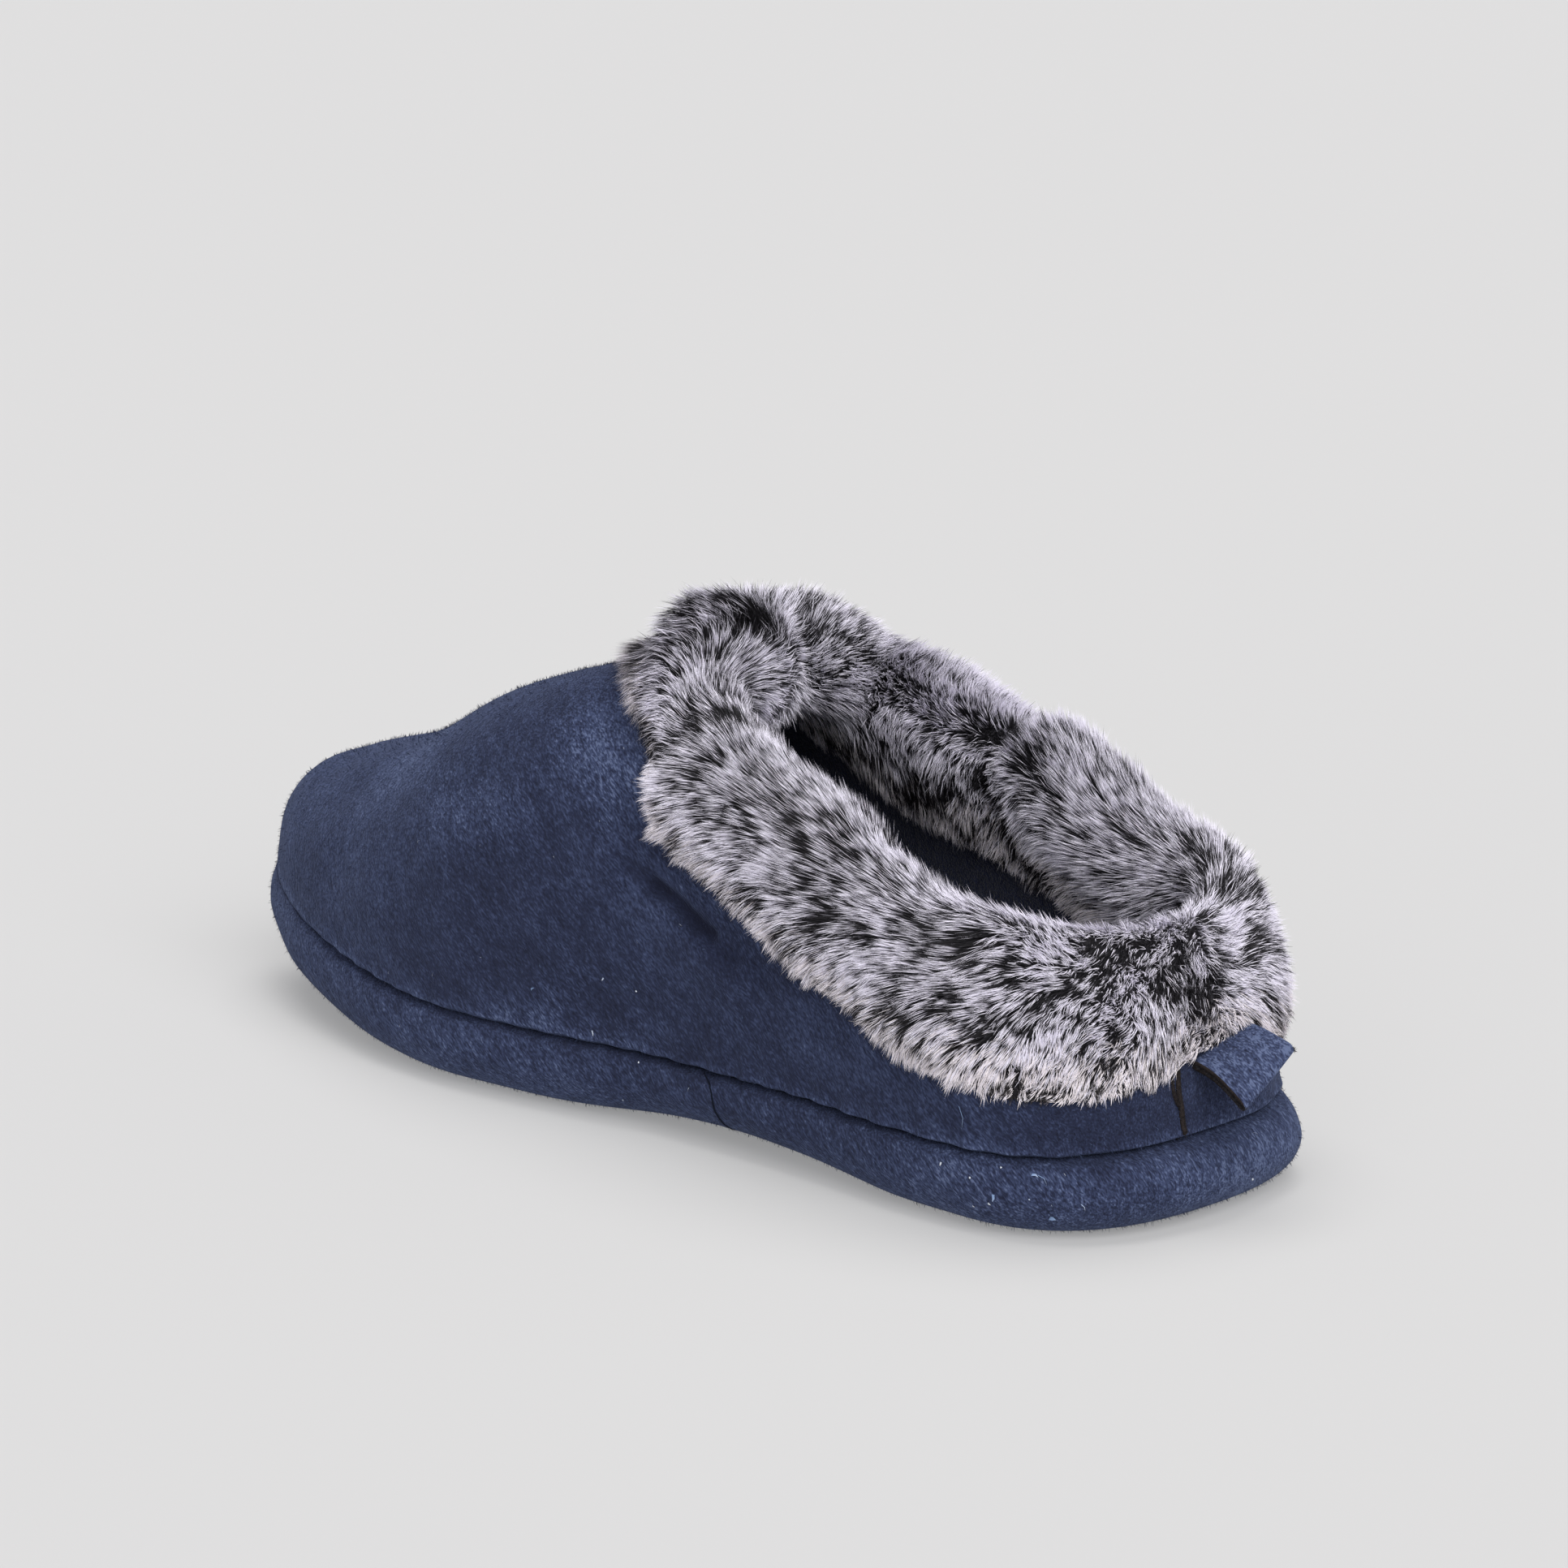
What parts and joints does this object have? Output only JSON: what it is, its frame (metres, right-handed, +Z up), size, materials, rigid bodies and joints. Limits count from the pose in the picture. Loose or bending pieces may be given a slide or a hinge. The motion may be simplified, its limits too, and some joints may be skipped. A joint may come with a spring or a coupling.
{
  "type": "closed-back slipper",
  "caption": "Right-foot house slipper with a closed back, a soft suede upper on a wrapped padded sole, a deep folded fur cuff round the collar and a small pull tab at the heel.",
  "frame": {"origin": "centre of the whole shoe's plan, on the plane that it stands on", "axes": "+Z up, +Y along the shoe towards the toe, +X towards the wearer's right, which is the outer side"},
  "size_m": [0.0972, 0.2718, 0.1022],
  "materials": {
    "sole_suede": "brushed navy suede wrapped over foam",
    "upper_suede": "brushed navy suede",
    "lining_fleece": "short navy fleece",
    "grey_fur": "long mottled pile, dark roots and pale grey tips"
  },
  "bodies": {
    "root": {"sole": "sole_suede", "upper": "upper_suede", "insole": "lining_fleece", "fur_cuff": "grey_fur", "pull_tab": "upper_suede"}
  },
  "joints": []
}
